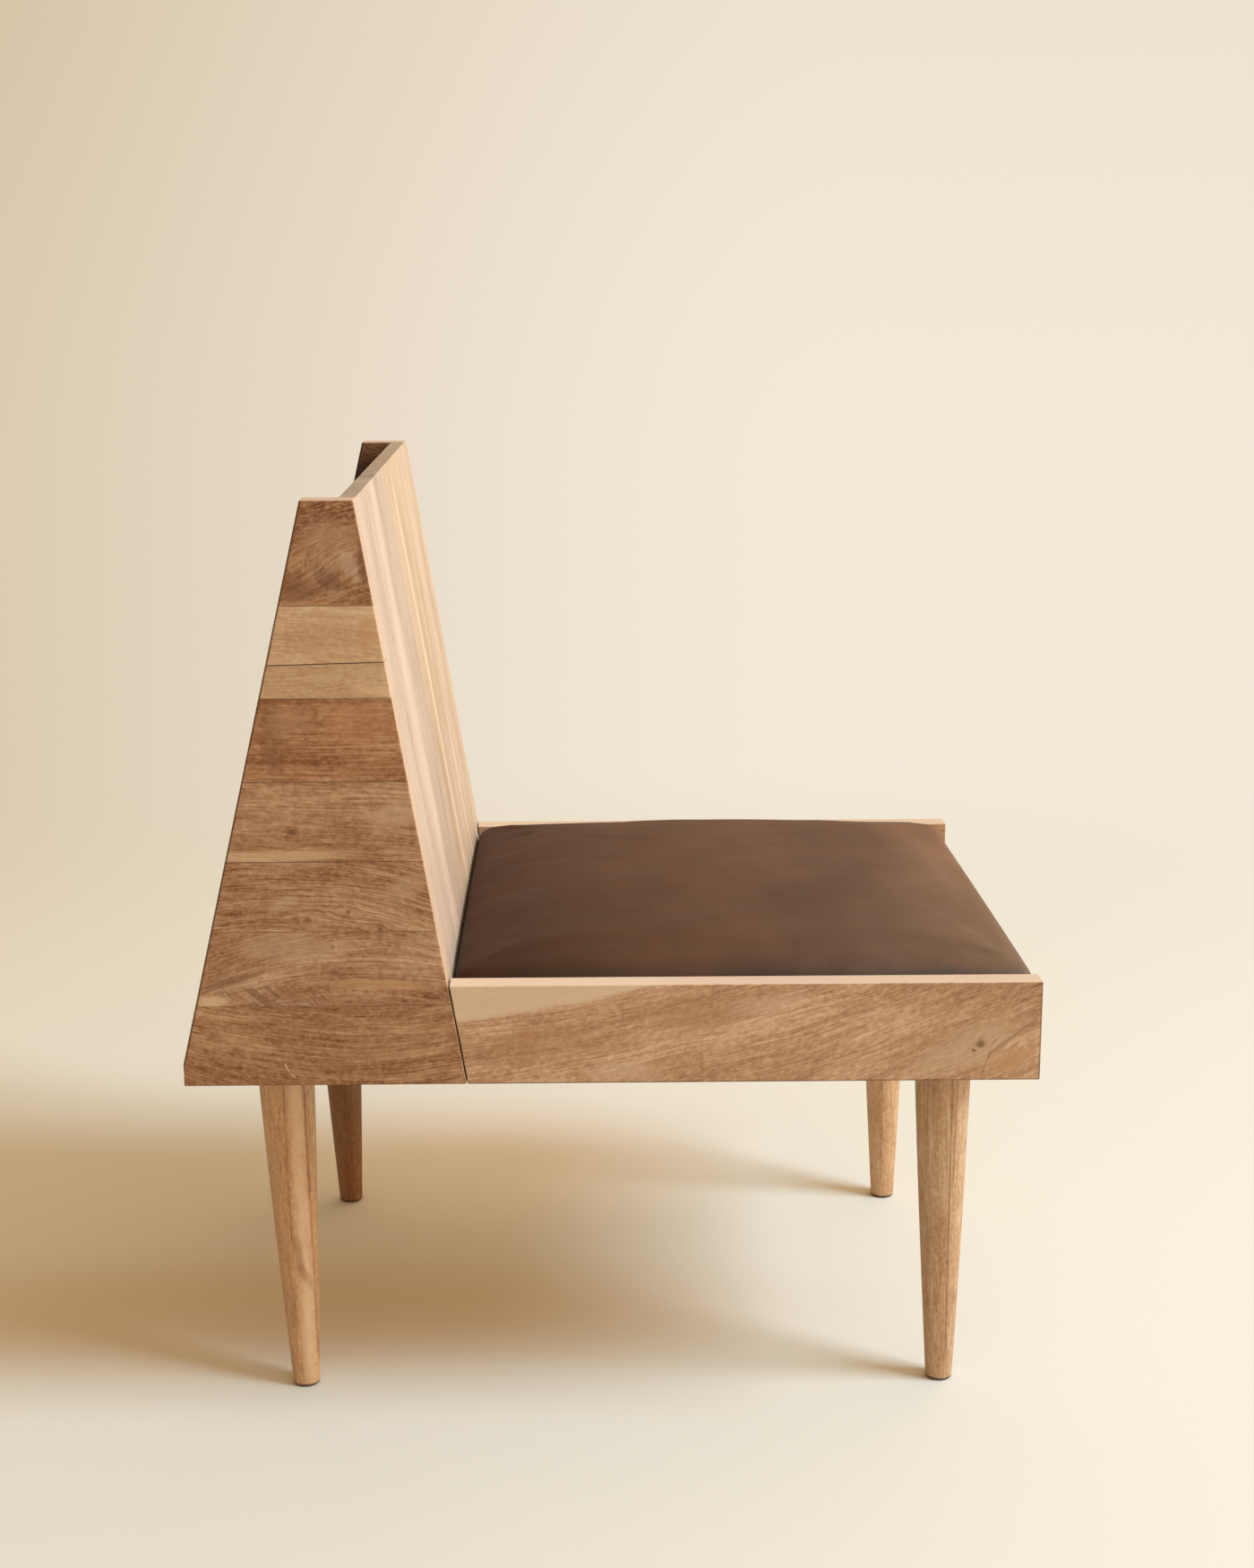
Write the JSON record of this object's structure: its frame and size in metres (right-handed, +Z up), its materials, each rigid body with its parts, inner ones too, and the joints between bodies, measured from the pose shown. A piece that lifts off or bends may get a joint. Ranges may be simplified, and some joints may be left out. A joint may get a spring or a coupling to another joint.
{
  "type": "lounge chair",
  "caption": "Low lounge chair with wedge-shaped sides glued up from hardwood boards, a raked board back, seat rails, turned tapered legs and a crowned leather seat pad.",
  "frame": {"origin": "on the floor under the middle of the chair's outline", "axes": "+Z up, the chair faces -Y, +X is the sitter's left"},
  "size_m": [0.55, 0.684, 0.76],
  "materials": {
    "dark_board": "satin",
    "tan_board": "satin",
    "red_board": "satin",
    "brown_board": "satin",
    "honey_rail": "satin",
    "pale_back": "satin",
    "leg_wood": "satin",
    "frame_wood": "matte",
    "dowel_wood": "matte",
    "plywood": "matte",
    "leather": "matte",
    "foam": "matte",
    "screw_steel": "satin"
  },
  "bodies": {
    "root": {"right_side_board_1": "dark_board", "right_side_board_2": "tan_board", "right_side_board_3": "tan_board", "right_side_board_4": "red_board", "right_side_board_5": "brown_board", "right_side_board_6": "brown_board", "right_side_board_7": "brown_board", "right_side_board_8": "brown_board", "left_side_board_1": "dark_board", "left_side_board_2": "tan_board", "left_side_board_3": "tan_board", "left_side_board_4": "red_board", "left_side_board_5": "brown_board", "left_side_board_6": "brown_board", "left_side_board_7": "brown_board", "left_side_board_8": "brown_board", "back_board_1": "pale_back", "back_board_2": "pale_back", "back_board_3": "pale_back", "back_board_4": "pale_back", "back_board_5": "pale_back", "back_board_6": "pale_back", "right_seat_rail": "honey_rail", "left_seat_rail": "honey_rail", "front_rail": "honey_rail", "rear_seat_rail": "frame_wood", "front_leg_rail": "frame_wood", "rear_leg_rail": "frame_wood", "lower_back_batten": "frame_wood", "upper_back_batten": "frame_wood", "right_seat_cleat": "frame_wood", "left_seat_cleat": "frame_wood", "right_front_leg": "leg_wood", "right_rear_leg": "leg_wood", "left_front_leg": "leg_wood", "left_rear_leg": "leg_wood", "right_front_leg_wedge": "dowel_wood", "right_rear_leg_wedge": "dowel_wood", "right_rail_dowel_1": "dowel_wood", "right_rail_dowel_2": "dowel_wood", "right_cleat_screw_1": "screw_steel", "right_cleat_screw_2": "screw_steel", "right_cleat_screw_3": "screw_steel", "right_seat_screw_1": "screw_steel", "right_seat_screw_2": "screw_steel", "left_front_leg_wedge": "dowel_wood", "left_rear_leg_wedge": "dowel_wood", "left_rail_dowel_1": "dowel_wood", "left_rail_dowel_2": "dowel_wood", "left_cleat_screw_1": "screw_steel", "left_cleat_screw_2": "screw_steel", "left_cleat_screw_3": "screw_steel", "left_seat_screw_1": "screw_steel", "left_seat_screw_2": "screw_steel", "seat_board": "plywood", "seat_foam": "foam", "seat_cover": "leather"}
  },
  "joints": []
}
